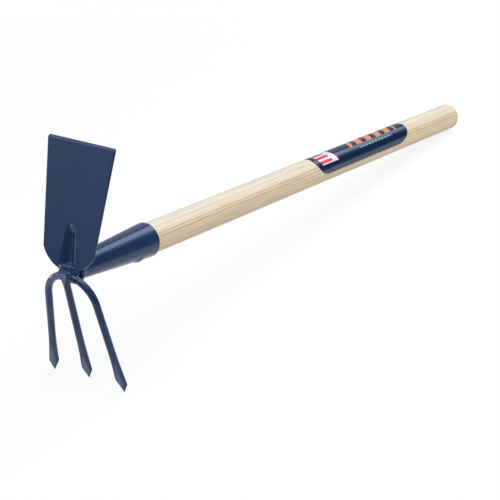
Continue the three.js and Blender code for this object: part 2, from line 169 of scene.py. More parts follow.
# One node: its settings, its plain input values, the sockets that feed its inputs and, on a colour
# ramp, its stops.
def addNode(tree, kind, settings=None, values=None, links=None, stops=None):
    node = tree.nodes.new(kind)
    for key, value in (settings or {}).items():
        setattr(node, key, value)
    for key, value in (values or {}).items():
        node.inputs[key].default_value = value
    for key, source in (links or {}).items():
        tree.links.new(source, node.inputs[key])
    if stops:
        elements = node.color_ramp.elements
        elements.remove(elements[1])
        elements[0].position, elements[0].color = stops[0]
        for place, colour in stops[1:]:
            elements.new(place).color = colour
    return node.outputs


# A new material, its node tree and its shader.
def newMaterial(name):
    material = bpy.data.materials.new(name)
    material.use_nodes = True
    tree = material.node_tree
    return material, tree, tree.nodes["Principled BSDF"]


# A finish's tone and bump into its shader, with the shader's plain values.
def feedShader(tree, shader, tone, bump, values):
    tree.links.new(tone, shader.inputs["Base Color"])
    tree.links.new(bump, shader.inputs["Normal"])
    for key, value in values.items():
        shader.inputs[key].default_value = value


paintLook = {
    "deep": "#1d2f50",
    "light": "#233658",
    "cloud": 45.0,  # mm across the faint clouds of tone
    "cloudDetail": 3.0,
    "peel": 2.6,  # mm from one bump of the orange peel to the next
    "peelDetail": 1.0,
    "peelHeight": 0.008,  # mm
    "roughness": 0.12,
    "ior": 1.72,
    "tint": "#cbe0ff",
}


# Glossy navy powder coat on steel: an even, deep colour under a clear skin with a faint orange
# peel, so highlights have slightly soft, wavy edges.
def powderCoat():
    material, tree, shader = newMaterial("navy_powder_coat")
    place = addNode(tree, "ShaderNodeTexCoord")["Object"]
    cloud = addNode(tree, "ShaderNodeTexNoise", None,
                    {"Scale": 1000 / paintLook["cloud"], "Detail": paintLook["cloudDetail"]},
                    {"Vector": place})["Fac"]
    tone = addNode(tree, "ShaderNodeMix", {"data_type": "RGBA"},
                   {6: linear(paintLook["deep"]), 7: linear(paintLook["light"])}, {0: cloud})[2]
    peel = addNode(tree, "ShaderNodeTexNoise", None,
                   {"Scale": 1000 / paintLook["peel"], "Detail": paintLook["peelDetail"]},
                   {"Vector": place})["Fac"]
    bump = addNode(tree, "ShaderNodeBump", None,
                   {"Strength": 1.0, "Distance": paintLook["peelHeight"] / 1000},
                   {"Height": peel})["Normal"]
    feedShader(tree, shader, tone, bump,
               {"Roughness": paintLook["roughness"], "IOR": paintLook["ior"],
                "Specular Tint": linear(paintLook["tint"])})
    return material


woodLook = {
    "pale": "#ddd4bf",
    "tan": "#d7c4a5",
    "pore": "#b29b78",
    "pith": (52.0, 118.0),  # mm from the axis, and degrees round it, to the middle of the year rings
    # The turn is painted light: pale on the handle's top, as under a sheen, and tan down its side, as in
    # shade.
    "turn": (44.0, 60.0),  # mm from the pith, between which the pale wood turns tan
    "sheenShadeLevels": (-0.35, 0.5),  # what the painted sheen and shade add to the tone at the turn's two ends
    # Each ring's line of pores: mm from the pith, mm wide and how dark.
    "rings": ((45.3, 1.1, 0.36), (52.4, 1.3, 0.6), (55.4, 1.3, 0.72), (58.2, 1.0, 0.22),
              (62.4, 1.1, 0.14), (65.0, 1.2, 0.5)),
    # Across a line of pores: widths from its middle, and shares of its darkness.
    "ringShape": ((-0.6, 0), (-0.2, 1), (0.15, 1), (0.7, 0.25), (1.3, 0)),
    "ringMargin": 2.0,  # mm of plain wood past the first ring and the last
    "sway": 2.4,  # mm that a ring wanders along the stave
    "swayLength": 160.0,  # mm along the stave
    "swayScale": 30.0,  # waves in a metre across it
    "swayDetail": 1.5,
    "streak": 0.9,  # mm across the fine streaks, a little coarser than real ones so that they show
    "streakLength": 50.0,  # how many times longer than wide
    "streakDetail": 2.0,
    "streakRoughness": 0.6,
    "streakLevels": (0.42, 0.72),  # the noise's levels where a streak starts and is full
    "streakDark": 0.46,
    "band": 5.5,  # how many streaks wide the broad bands of tone are
    "relief": 0.12,  # mm
    "reliefStrength": 0.6,
    "roughness": 0.52,
    "gloss": 0.28,
}


# Planed ash, bare: pale straw wood. Each year ring starts with a darker line of pores that fades
# into pale wood, and the rings run out of the round stave as long parallel lines. A ring is a band
# of distance from the pith, which lies beside the stave, moved by a slow noise along it.
def planedAsh():
    material, tree, shader = newMaterial("planed_ash")
    place = addNode(tree, "ShaderNodeTexCoord")["Object"]
    away, bearing = woodLook["pith"][0] / 1000, np.radians(woodLook["pith"][1])
    rise = away * np.sin(bearing)
    offset = np.array([rise * fallSin, -away * np.cos(bearing), rise * fallCos])
    pith = (np.array(headFrame["shift"]) / 1000 + offset).tolist()
    grain = addNode(tree, "ShaderNodeMapping", {"vector_type": "TEXTURE"},
                    {"Location": pith, "Rotation": (0, headFrame["angle"], 0)},
                    {"Vector": place})["Vector"]
    swayScale = (1 / woodLook["swayLength"] * 1000, woodLook["swayScale"], woodLook["swayScale"])
    slow = addNode(tree, "ShaderNodeMapping", None, {"Scale": swayScale}, {"Vector": grain})["Vector"]
    sway = addNode(tree, "ShaderNodeTexNoise", None,
                   {"Scale": 1.0, "Detail": woodLook["swayDetail"]}, {"Vector": slow})["Fac"]
    across = addNode(tree, "ShaderNodeVectorMath", {"operation": "MULTIPLY"},
                     {1: (0, 1, 1)}, {0: grain})[0]
    reach = addNode(tree, "ShaderNodeVectorMath", {"operation": "LENGTH"}, None, {0: across})["Value"]
    moved = addNode(tree, "ShaderNodeMath", {"operation": "MULTIPLY_ADD"},
                    {1: woodLook["sway"] / 1000}, {0: sway, 2: reach})[0]

    near = woodLook["rings"][0][0] - woodLook["ringMargin"]
    far = woodLook["rings"][-1][0] + woodLook["ringMargin"]
    half = woodLook["sway"] / 2
    position = addNode(tree, "ShaderNodeMapRange", None,
                       {"From Min": (near + half) / 1000, "From Max": (far + half) / 1000},
                       {"Value": moved})[0]
    stops = [((middle + at * width - near) / (far - near), (depth * share,) * 3 + (1,))
             for middle, width, depth in woodLook["rings"] for at, share in woodLook["ringShape"]]
    lines = addNode(tree, "ShaderNodeValToRGB", None, None, {"Fac": position}, stops)["Color"]

    along = addNode(tree, "ShaderNodeMapping", None,
                    {"Scale": (1 / woodLook["streakLength"], 1.0, 1.0)}, {"Vector": grain})["Vector"]
    fibre = addNode(tree, "ShaderNodeTexNoise", None,
                    {"Scale": 1000 / woodLook["streak"], "Detail": woodLook["streakDetail"],
                     "Roughness": woodLook["streakRoughness"]}, {"Vector": along})["Fac"]
    band = addNode(tree, "ShaderNodeTexNoise", None,
                   {"Scale": 1000 / (woodLook["streak"] * woodLook["band"]),
                    "Detail": woodLook["streakDetail"]}, {"Vector": along})["Fac"]
    # Painted sheen and shade: by the reach from the pith, which lies above and to the left of the stave,
    # the top turns paler and the side and underside tan.
    paintedSheenShade = addNode(tree, "ShaderNodeMapRange", None,
                    {"From Min": woodLook["turn"][0] / 1000, "From Max": woodLook["turn"][1] / 1000,
                     "To Min": woodLook["sheenShadeLevels"][0], "To Max": woodLook["sheenShadeLevels"][1]},
                    {"Value": reach})[0]
    # The tan share: broad bands of real tone plus the painted sheen and shade.
    tan = addNode(tree, "ShaderNodeMath", {"operation": "ADD", "use_clamp": True}, None,
                  {0: band, 1: paintedSheenShade})[0]
    base = addNode(tree, "ShaderNodeMix", {"data_type": "RGBA"},
                   {6: linear(woodLook["pale"]), 7: linear(woodLook["tan"])}, {0: tan})[2]
    streaked = addNode(tree, "ShaderNodeMapRange", None,
                       {"From Min": woodLook["streakLevels"][0], "From Max": woodLook["streakLevels"][1],
                        "To Min": 0.0, "To Max": woodLook["streakDark"]}, {"Value": fibre})[0]
    dark = addNode(tree, "ShaderNodeMath", {"operation": "ADD", "use_clamp": True}, None,
                   {0: lines, 1: streaked})[0]
    tone = addNode(tree, "ShaderNodeMix", {"data_type": "RGBA"}, {7: linear(woodLook["pore"])},
                   {0: dark, 6: base})[2]
    bump = addNode(tree, "ShaderNodeBump", None,
                   {"Strength": woodLook["reliefStrength"], "Distance": woodLook["relief"] / 1000},
                   {"Height": fibre})["Normal"]
    feedShader(tree, shader, tone, bump,
               {"Roughness": woodLook["roughness"], "Specular IOR Level": woodLook["gloss"]})
    return material


filmLook = {
    "navy": "#0b2140",
    "orange": "#dd8a55",
    "white": "#d8d9de",
    "red": "#cf2f3c",
    "teal": "#6f9aa0",
    "roughness": 0.2,
    "ior": 1.6,
    "tint": "#dbe6ff",
    "wrinkle": 9.0,  # mm from one wrinkle to the next
    "wrinkleDetail": 2.0,
    "wrinkleHeight": 0.02,  # mm
    # The print, from the bottom layer up. A motif lies between two places along the film from its
    # near end and two up from its low edge, all in mm. Its slant is how far its ends shift back to
    # the near end for each mm up. A repeated one fills a share of each period, along the film or up it.
    "print": (
        {"colour": "orange", "along": (68, 172), "up": (18.6, 35.5), "slant": -0.5,
         "way": "along", "period": 21.0, "filled": 0.55},
        {"colour": "teal", "along": (93, 163), "up": (13.2, 15.0), "slant": 0.0,
         "way": "along", "period": 7.0, "filled": 0.7},
        {"colour": "white", "along": (14, 46), "up": (10.5, 33), "slant": 0.25},
        {"colour": "red", "along": (14, 36), "up": (10.5, 33), "slant": 0.25,
         "way": "up", "period": 6.0, "filled": 0.62},
    ),
}


# Printed vinyl film, satin: a navy ground with slanted orange blocks, a dashed teal line under
# them and a white patch with red bars. The map gives each place in millimetres on the film.
def printedFilm():
    material, tree, shader = newMaterial("printed_film")
    flat = addNode(tree, "ShaderNodeUVMap", {"uv_map": "millimetres"})["UV"]
    parts = addNode(tree, "ShaderNodeSeparateXYZ", None, None, {0: flat})

    # 1 where a value lies between two levels, and 0 elsewhere.
    def within(value, low, high):
        return addNode(tree, "ShaderNodeMath", {"operation": "COMPARE"},
                       {1: (low + high) / 2, 2: (high - low) / 2}, {0: value})[0]

    # 1 on a motif: whether a place is within it along, up and in its period, multiplied.
    def maskOf(motif):
        along = addNode(tree, "ShaderNodeMath", {"operation": "MULTIPLY_ADD"},
                        {1: motif["slant"]}, {0: parts["Y"], 2: parts["X"]})[0]
        masks = [within(along, *motif["along"]), within(parts["Y"], *motif["up"])]
        if "period" in motif:
            source = along if motif["way"] == "along" else parts["Y"]
            share = addNode(tree, "ShaderNodeMath", {"operation": "DIVIDE"},
                            {1: motif["period"]}, {0: source})[0]
            share = addNode(tree, "ShaderNodeMath", {"operation": "FRACT"}, None, {0: share})[0]
            masks.append(within(share, 0.0, motif["filled"]))
        whole = masks[0]
        for mask in masks[1:]:
            whole = addNode(tree, "ShaderNodeMath", {"operation": "MULTIPLY"}, None,
                            {0: whole, 1: mask})[0]
        return whole

    under = {}  # what feeds the layer's ground; the first layer's is plain navy
    for motif in filmLook["print"]:
        layer = addNode(tree, "ShaderNodeMix", {"data_type": "RGBA"},
                        {6: linear(filmLook["navy"]), 7: linear(filmLook[motif["colour"]])},
                        {0: maskOf(motif), **under})
        under = {6: layer[2]}
    place = addNode(tree, "ShaderNodeTexCoord")["Object"]
    wrinkle = addNode(tree, "ShaderNodeTexNoise", None,
                      {"Scale": 1000 / filmLook["wrinkle"], "Detail": filmLook["wrinkleDetail"]},
                      {"Vector": place})["Fac"]
    bump = addNode(tree, "ShaderNodeBump", None,
                   {"Strength": 1.0, "Distance": filmLook["wrinkleHeight"] / 1000},
                   {"Height": wrinkle})["Normal"]
    feedShader(tree, shader, under[6], bump,
               {"Roughness": filmLook["roughness"], "IOR": filmLook["ior"],
                "Specular Tint": linear(filmLook["tint"])})
    return material


coat = powderCoat()
ashWood = planedAsh()
film = printedFilm()
print("mixed the paint, the wood and the film")


# The piece's finish, the CAD node that it stands for, and its body.
def dress(piece, material, node):
    piece.data.materials.append(material)
    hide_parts(node)
    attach(piece, "root")
    print("made", piece.name, len(piece.data.polygons), "faces")


# Handle

handle = {
    "radius": 15.0,
    "length": 690.0,
    "insertion": 82.0,
    "buttRounding": 1.6,
    "buttCentre": 0.5,  # the radius of the innermost ring on the butt's face
    "sides": 144,
    "barSteps": 40,
    "roundingSteps": 8,
    "faceSteps": 6,
}
socket = {
    "length": 103.0,
    "wall": 1.5,
    "endRadius": 10.7,
    "setback": 12.4,
    "rimRounding": 0.6,
    "lipRounding": 0.3,  # of the bore's edge
    "boreInset": 0.5,  # mm in from the mouth, where the bore's straight wall starts
    "gap": 0.3,  # between the wood and the bore
    "marks": ((23, 0.012), (41, 0.008), (67, 0.005)),  # rolling marks: waves round the cone, mm high
    "sides": 288,
    "outerSteps": 40,
    "boreSteps": 12,
}
mouthX = socket["setback"] + socket["length"]
buttX = mouthX + handle["length"] - handle["insertion"]
mouthRadius = handle["radius"] + socket["gap"] + socket["wall"]


# The cone's outer radius, which grows evenly from its narrow end to its mouth.
def socketRadius(x):
    share = (np.asarray(x, float) - socket["setback"]) / socket["length"]
    return socket["endRadius"] + share * (mouthRadius - socket["endRadius"])


# The stave, turned from its profile: a straight taper in the socket, a round bar and a broken edge
# at the butt.
def makeHandle():
    noseX = mouthX - handle["insertion"]
    noseRadius = socketRadius(noseX) - socket["wall"] - socket["gap"]
    corner = roundedCorner((buttX, handle["radius"]), (mouthX, handle["radius"]), (buttX, 0),
                           handle["buttRounding"], handle["roundingSteps"])
    bar = np.linspace((mouthX, handle["radius"]), corner[0], handle["barSteps"])
    face = np.linspace(corner[-1], (buttX, handle["buttCentre"]), handle["faceSteps"])[1:]
    profile = np.concatenate([[(noseX, noseRadius)], bar, corner[1:], face])
    points, faces = lofted(turned(profile, handle["sides"]))
    return makeMesh("ash_handle", points, faces)


dress(makeHandle(), ashWood, "handle")

# Socket


# Profile points along the cone's wall, at a depth under its outside.
def wallLine(start, end, steps, depth=0.0):
    x = np.linspace(start, end, steps)
    return np.stack([x, socketRadius(x) - depth], axis=-1)


# A rolled cone with an open mouth, turned from its profile: the outside, a rounded rim, the lip and
# the bore. Waves round it move the wall in and out, as rolling leaves it.
def makeSocket():
    x0, x1 = socket["setback"], mouthX
    endRadius, boreRadius = socketRadius(x0), mouthRadius - socket["wall"]
    outer = wallLine(x0, x1 - socket["rimRounding"], socket["outerSteps"])
    rim = roundedCorner((x1, mouthRadius), (x0, endRadius), (x1, 0), socket["rimRounding"])
    lip = roundedCorner((x1, boreRadius), (x1, mouthRadius), (x0, endRadius - socket["wall"]),
                        socket["lipRounding"])
    bore = wallLine(x1 - socket["boreInset"], x0, socket["boreSteps"], socket["wall"])
    rings = turned(np.concatenate([outer, rim, lip, bore]), socket["sides"])
    turn = np.linspace(0, 2 * np.pi, socket["sides"], endpoint=False)
    mark = sum(high * np.sin(waves * turn + waves) for waves, high in socket["marks"])
    rings[..., 1:] *= (1 + mark / mouthRadius)[:, None]
    rings = np.concatenate([rings, rings[:1]])
    points, faces = lofted(rings, capped=False)
    return makeMesh("rolled_socket", points, faces)


dress(makeSocket(), coat, "socket")

# Label

label = {
    "length": 201.0,
    "fromButt": 122.4,
    "thickness": 0.25,
    "lift": 0.05,
    "lowAngle": -5.0,
    "highAngle": 150.0,
    "nearRound": 20.0,
    "farRound": 29.0,
    "rows": 121,
    "columns": 161,
    "sharpAngle": 50.0,
    "merge": 1e-5,
}


# Each corner's place on the flat film, in millimetres: how far its vertex lies along the handle
# from the film's near end, and round it from the low edge.
def layFlat(mesh, nearX):
    place = np.empty(len(mesh.vertices) * 3)
    mesh.vertices.foreach_get("co", place)
    corner = np.empty(len(mesh.loops), int)
    mesh.loops.foreach_get("vertex_index", corner)
    back = place.reshape(-1, 3) * 1000 - np.array(headFrame["shift"])
    along = back[:, 0] * fallCos - back[:, 2] * fallSin - nearX
    up = back[:, 0] * fallSin + back[:, 2] * fallCos
    turn = np.arctan2(up, -back[:, 1])
    flat = np.stack([along, handle["radius"] * (turn - np.radians(label["lowAngle"]))], axis=-1)
    layer = mesh.uv_layers.new(name="millimetres")
    layer.data.foreach_set("uv", flat[corner].ravel())


# A film wrapped on the handle: at each angle round it a strip from end to end, whose ends draw in
# by one less the cosine of a half turn from edge to edge. An inner and an outer sheet are joined
# round their border.
def makeLabel():
    rows, columns = label["rows"], label["columns"]
    swing = np.linspace(-np.pi / 2, np.pi / 2, rows)
    spread = label["highAngle"] - label["lowAngle"]
    angle = np.radians(label["lowAngle"] + spread * (1 + np.sin(swing)) / 2)
    cut = 1 - np.cos(swing)
    farX = buttX - label["fromButt"]
    nearX = farX - label["length"]
    ends = np.stack([nearX + label["nearRound"] * cut, farX - label["farRound"] * cut], axis=-1)
    share = np.linspace(0, 1, columns)
    x = ends[:, :1] + (ends[:, 1:] - ends[:, :1]) * share
    around = np.repeat(angle[:, None], columns, axis=1)
    inner = handle["radius"] + label["lift"]
    sheets = [np.stack([x, -radius * np.cos(around), radius * np.sin(around)], axis=-1)
              for radius in (inner, inner + label["thickness"])]
    count = rows * columns
    faces = gridFaces(rows, columns, closed=False)
    faces += gridFaces(rows, columns, closed=False, start=count, flipped=True)
    index = np.arange(count).reshape(rows, columns)
    border = np.concatenate([index[0, :-1], index[:-1, -1], index[-1, :0:-1], index[:0:-1, 0]])
    after = np.roll(border, -1)
    faces += np.stack([border, border + count, after + count, after], axis=-1).tolist()
    points = np.concatenate(sheets).reshape(-1, 3)
    piece = makeMesh("printed_label", points, faces, label["sharpAngle"], label["merge"])
    layFlat(piece.data, nearX)
    return piece


dress(makeLabel(), film, "handle_label")

# Blade

blade = {
    "height": 115.8,
    "edgeWidth": 74.8,
    "sideSlope": 5.2,
    "thickness": 2.1,
    "lean": 10.0,
    "rootRise": 1.0,
    "arcHeight": 17.6,
    "cornerRadius": 1.8,
    "bevelHeight": 2.5,
    "land": 0.7,  # the thickness left at the cutting edge
    "edgeRounding": 0.5,
    "roundingShare": 0.45,  # the most of the thickness that the rounding may take
    "grooveLength": 43.4,
    "grooveHalfWidth": 10.2,
    "grooveTaper": 7.2,
    "grooveDepth": 5.0,
    "grooveEndDepth": 4.2,
    "grooveEndLength": 11.5,
    "lipSoftness": (0.3, 0.9),  # along the flanks, and at the end
    "spineEnds": (8.0, 10.0),  # how far the spine's ends stay from the root and from the edge
    "arcSteps": 60,
    "sideSteps": 90,
    "cornerSteps": 10,
    "edgeSteps": 50,
    "rimSteps": ((4.0, 14), (8.0, 5)),  # how far in from the edge, and how many lines up to there
    "faceSteps": 46,
    "bendSteps": 5,
    "sharpAngle": 24.0,
    "merge": 0.02,
}
slope = np.tan(np.radians(blade["sideSlope"]))
rootHalf = blade["edgeWidth"] / 2 - blade["height"] * slope
arcHalf = rootHalf + blade["arcHeight"] * slope
arcRadius = (arcHalf ** 2 + blade["arcHeight"] ** 2) / (2 * blade["arcHeight"])
taper = np.radians(blade["grooveTaper"])
lean = np.radians(blade["lean"])


# How deep the pressed groove is: a floor that rises to its round end, times a cosine across it that
# is squared near the lips alone, so that they are rounded, and more so at the end.
def grooveDepth(y, z):
    endZ = blade["grooveLength"] - blade["grooveEndLength"]
    past = (z - endZ) / blade["grooveEndLength"]
    reach = blade["grooveHalfWidth"] - np.minimum(z, endZ) * np.tan(taper)
    across = np.hypot(y, np.maximum(0, z - endZ) * reach / blade["grooveEndLength"])
    deepening = blade["grooveEndDepth"] - blade["grooveDepth"]
    floor = blade["grooveDepth"] + deepening * np.clip(z / endZ, 0, 1)
    bend = np.maximum(0, np.cos(np.pi * np.clip(across / reach, 0, 1) / 2))
    flankSoftness, endSoftness = blade["lipSoftness"]
    softness = flankSoftness + (endSoftness - flankSoftness) * np.clip(past, 0, 1)
    return floor * bend ** 2 * (1 + softness) / (bend + softness)


# How deep the ground bevel is: nothing at its foot and the thickness less the land at the edge.
def bevelDepth(z):
    share = np.clip((z - blade["height"]) / blade["bevelHeight"] + 1, 0, 1)
    return share * (blade["thickness"] - blade["land"])


# From the blade's own frame, upright, to its lean above the handle's axis.
def leanBlade(points):
    x, y = points[..., 0], points[..., 1]
    z = points[..., 2] + blade["rootRise"] / np.cos(lean)
    return np.stack([x * np.cos(lean) + z * np.sin(lean), y,
                     z * np.cos(lean) - x * np.sin(lean)], axis=-1)


# Half the outline from the middle of the round lower edge, up the side, round the corner and in
# along the cutting edge, with the outward direction at each point: the way along it, turned right.
def bladeOutline():
    swing = np.linspace(0, np.arcsin(arcHalf / arcRadius), blade["arcSteps"])
    arc = np.stack([arcRadius * np.sin(swing), arcRadius * (1 - np.cos(swing))], axis=-1)
    top = blade["height"] - blade["cornerRadius"]
    rise = np.linspace(blade["arcHeight"], top, blade["sideSteps"])[1:]
    side = np.stack([rootHalf + rise * slope, rise], axis=-1)
    turn = np.linspace(0, np.pi / 2, blade["cornerSteps"])[1:]
    wide = rootHalf + top * slope - blade["cornerRadius"]
    corner = np.stack([wide + blade["cornerRadius"] * np.cos(turn),
                       top + blade["cornerRadius"] * np.sin(turn)], axis=-1)
    inward = np.linspace(wide, 0, blade["edgeSteps"])[1:]
    edge = np.stack([inward, np.full_like(inward, blade["height"])], axis=-1)
    outline = np.concatenate([arc, side, corner, edge])
    along = np.gradient(outline, axis=0)
    along[0], along[-1] = (1, 0), (-1, 0)
    along /= np.linalg.norm(along, axis=1)[:, None]
    return outline, np.stack([along[:, 1], -along[:, 0]], axis=-1)


# How far in from the edge each line lies, as shares of the way to the spine: close together near
# the edge and even after that.
def inwardSteps(length):
    (near, nearLines), (far, farLines) = blade["rimSteps"]
    close = np.concatenate([np.linspace(0, near, nearLines), np.linspace(near, far, farLines)[1:]])
    rest = far + np.linspace(0, 1, blade["faceSteps"])[1:] * (length[:, None] - far)
    return np.concatenate([close * np.ones((len(length), 1)), rest], axis=1) / length[:, None]


# Lines from a spine up the blade's middle out to its edge, round it by a quarter circle each way and
# back in behind, one for each point of the outline. The groove and the bevel push them back by
# their depth. The other half is its mirror image.
def makeBlade():
    outline, outward = bladeOutline()
    fromRoot, fromEdge = blade["spineEnds"]
    spineZ = np.clip(outline[:, 1], fromRoot, blade["height"] - fromEdge)
    spine = np.stack([np.zeros(len(outline)), spineZ], axis=-1)
    thinnest = blade["thickness"] - bevelDepth(outline[:, 1])
    rounding = np.minimum(blade["edgeRounding"], blade["roundingShare"] * thinnest)[:, None]
    inset = outline - outward * rounding
    inward = spine - inset
    steps = inwardSteps(np.linalg.norm(inward, axis=1))
    flat = inset[:, None, :] + inward[:, None, :] * steps[..., None]
    turn = np.linspace(0, np.pi / 2, blade["bendSteps"])[1:]
    bend = inset[:, None, :] + outward[:, None, :] * (rounding * np.sin(turn))[..., None]
    drop = rounding * (1 - np.cos(turn))

    flatGroove = grooveDepth(flat[..., 0], flat[..., 1])
    bendGroove = grooveDepth(bend[..., 0], bend[..., 1])
    front = [(flatGroove + bevelDepth(flat[..., 1]))[:, ::-1],
             bendGroove + bevelDepth(bend[..., 1]) + drop]
    back = [blade["thickness"] + (bendGroove - drop)[:, ::-1], blade["thickness"] + flatGroove]
    x = np.concatenate(front + back, axis=1)
    yz = np.concatenate([flat[:, ::-1], bend, bend[:, ::-1], flat], axis=1)
    right = np.stack([x, -yz[..., 0], yz[..., 1]], axis=-1)
    left = right * np.array([1, -1, 1])
    rows, columns = x.shape
    points = np.concatenate([right, left]).reshape(-1, 3)
    faces = gridFaces(rows, columns, closed=False)
    faces += gridFaces(rows, columns, closed=False, start=rows * columns, flipped=True)
    return makeMesh("pressed_blade", leanBlade(points), faces, blade["sharpAngle"], blade["merge"])


dress(makeBlade(), coat, "blade")

# Neck

neck = {
    "noseRadius": 8.0,
    "noseSetback": 3.2,
    "noseRounding": 1.2,
    "centre": 0.3,  # the radius of the innermost rings on its two faces
    "collar": 0.5,  # how far the cone runs on past the socket's end, under the bead
    "spigotLength": 15.0,
    "spigotInset": (1.6, 1.4),  # under the socket's end radius, at the collar and at the far end
    "sides": 96,
}


# The plug, turned from its profile: a short cone from the blade's back to the socket, and a spigot
# inside the socket.
def makeNeck():
    x0, x1 = neck["noseSetback"], socket["setback"]
    farX = x1 + neck["spigotLength"]
    nearInset, farInset = neck["spigotInset"]
    nose = roundedCorner((x0, neck["noseRadius"]), (x0, 0), (x1, socket["endRadius"]),
                         neck["noseRounding"])
    profile = [(x0, neck["centre"]), *nose, (x1 + neck["collar"], socket["endRadius"]),
               (x1 + neck["collar"], socket["endRadius"] - nearInset),
               (farX, socket["endRadius"] - farInset), (farX, neck["centre"])]
    points, faces = lofted(turned(profile, neck["sides"]))
    return makeMesh("neck_plug", points, faces)


dress(makeNeck(), coat, "neck")

# Fork

fork = {
    "barRadius": 3.4,
    "drop": 115.0,
    "reach": 34.2,
    "spread": 81.8,
    "splay": 8.7,
    "crownDrop": 4.0,
    "crownSetback": 3.0,
    "crownStart": 0.1,  # radians from the arch's top to an outer tine's root, inside the head
    "middleDrop": 112.2,
    "spearLength": 44.0,
    "pointLength": 11.2,
    "spearWidth": 11.6,
    "spearThickness": 3.0,
    "circle": 2.0,  # the squareness of a round bar
    "spearSquareness": 3.6,
    "flarePower": 1.8,
    "shoulderSlant": 0.43,  # of the outer spears: how much nearer to the point the outer shoulder is
    "tipShare": 0.015,
    "headRise": 6.6,
    "headSetback": 0.8,
    "headDrop": 14.0,
    "headFootSetback": 2.5,
    "headHalfWidth": 7.3,
    # Evenly down the head: shares of the way from the bar's half width to the head's.
    "headWidths": (0.8, 0.97, 1, 0.97, 0.86, 0.6, 0.26, 0.06, 0),
    # Shares of the way down the head, and its half thickness there.
    "headThickness": ((0, 1.6), (0.04, 2.2), (0.23, 2.1), (0.25, 2.4), (0.28, 3.5), (0.31, 3.8),
                      (0.5, 3.5), (1, 3.15)),
    "headSquareness": 1.1,  # added to a circle's at the top
    "headRipple": (5.0, 3, 0.16),  # its length, its seed and its height
    "sides": 40,
    "crownSteps": 60,
    "headSteps": 90,
    "flareSteps": 36,
    "pointSteps": 10,
    "sharpAngle": 38.0,
}
leanSlope = (fork["reach"] - fork["crownSetback"]) / (fork["drop"] - fork["crownDrop"])
splay = np.radians(fork["splay"])
legTop = fork["spread"] / 2 - (fork["drop"] - fork["crownDrop"]) * np.tan(splay)
crownRadius = legTop * np.cos(splay) / (1 - np.sin(splay))


# Rings across a bar: superellipses, from a circle at a squareness of 2 to a rounded square above it.
def sections(centres, tangents, halfWidth, halfThickness, squareness):
    halfWidth, halfThickness, squareness = (
        np.broadcast_to(value, len(centres))[:, None] for value in (halfWidth, halfThickness, squareness))
    ahead = np.array([-1.0, 0, 0])
    front = unit(ahead - (tangents @ ahead)[:, None] * tangents)
    side = np.cross(tangents, front)
    turn = np.linspace(0, 2 * np.pi, fork["sides"], endpoint=False)
    power = 2 / squareness
    across = np.sign(np.cos(turn)) * np.abs(np.cos(turn)) ** power
    through = np.sign(np.sin(turn)) * np.abs(np.sin(turn)) ** power
    return (centres[:, None, :] + side[:, None, :] * (halfWidth * across)[..., None]
            + front[:, None, :] * (halfThickness * through)[..., None])


# A spear point: the round bar flares by a power of the way down into a broad flat, which then
# narrows straight to the tip. On an outer tine the shoulders slant.
def spearRings(tip, tangent, outward=0):
    pointShare = fork["pointLength"] / fork["spearLength"]
    share = np.concatenate([np.linspace(1, pointShare, fork["flareSteps"]),
                            np.linspace(pointShare, fork["tipShare"], fork["pointSteps"])[1:]])
    spread = np.minimum(1, (1 - share) / (1 - pointShare)) ** fork["flarePower"]
    distance = share * fork["spearLength"]
    fade = np.minimum(1, distance / fork["pointLength"])
    bar = 2 * fork["barRadius"]
    width = (bar + (fork["spearWidth"] - bar) * spread) * fade
    thickness = (bar + (fork["spearThickness"] - bar) * spread) * fade
    centres = tip - tangent * distance[:, None]
    tangents = np.repeat(tangent[None, :], len(share), axis=0)
    squareness = fork["circle"] + (fork["spearSquareness"] - fork["circle"]) * spread
    rings = sections(centres, tangents, width / 2, thickness / 2, squareness)
    slant = fork["shoulderSlant"] * outward * (rings - centres[:, None, :])[..., 1] * spread[:, None]
    return rings + slant[..., None] * tangent


# A place on the arch at an angle from its top, and the direction that the bar takes there: a circle
# in the fork's leaning plane.
def crownAt(side, angle):
    fall = crownRadius * (1 - np.cos(angle))
    centre = np.stack([fork["crownSetback"] + fall * leanSlope, side * crownRadius * np.sin(angle),
                       -fork["crownDrop"] - fall], axis=-1)
    tangent = np.stack([np.sin(angle) * leanSlope, side * np.cos(angle), -np.sin(angle)], axis=-1)
    return centre, unit(tangent)


# Circles carried along half the arch from the forged head, then a straight leg and a spear point.
def makeOuterTine(name, side):
    angle = np.linspace(fork["crownStart"], np.pi / 2 - splay, fork["crownSteps"])
    centre, tangent = crownAt(side, angle)
    bend = sections(centre, tangent, fork["barRadius"], fork["barRadius"], fork["circle"])
    straight = unit(np.array([leanSlope, side * np.tan(splay), -1.0]))
    tip = np.array([fork["reach"], side * fork["spread"] / 2, -fork["drop"]])
    points, faces = lofted(np.concatenate([bend, spearRings(tip, straight, side)]))
    return makeMesh(name, points, faces, fork["sharpAngle"])


# Places at shares of the way along a cubic curve between its first and last knot, and the
# directions there.
def cubicCurve(knots, share):
    a, b, c, d = knots
    rest = 1 - share
    places = rest ** 3 * a + 3 * rest ** 2 * share * b + 3 * rest * share ** 2 * c + share ** 3 * d
    ways = 3 * rest ** 2 * (b - a) + 6 * rest * share * (c - b) + 3 * share ** 2 * (d - c)
    return places, unit(ways)


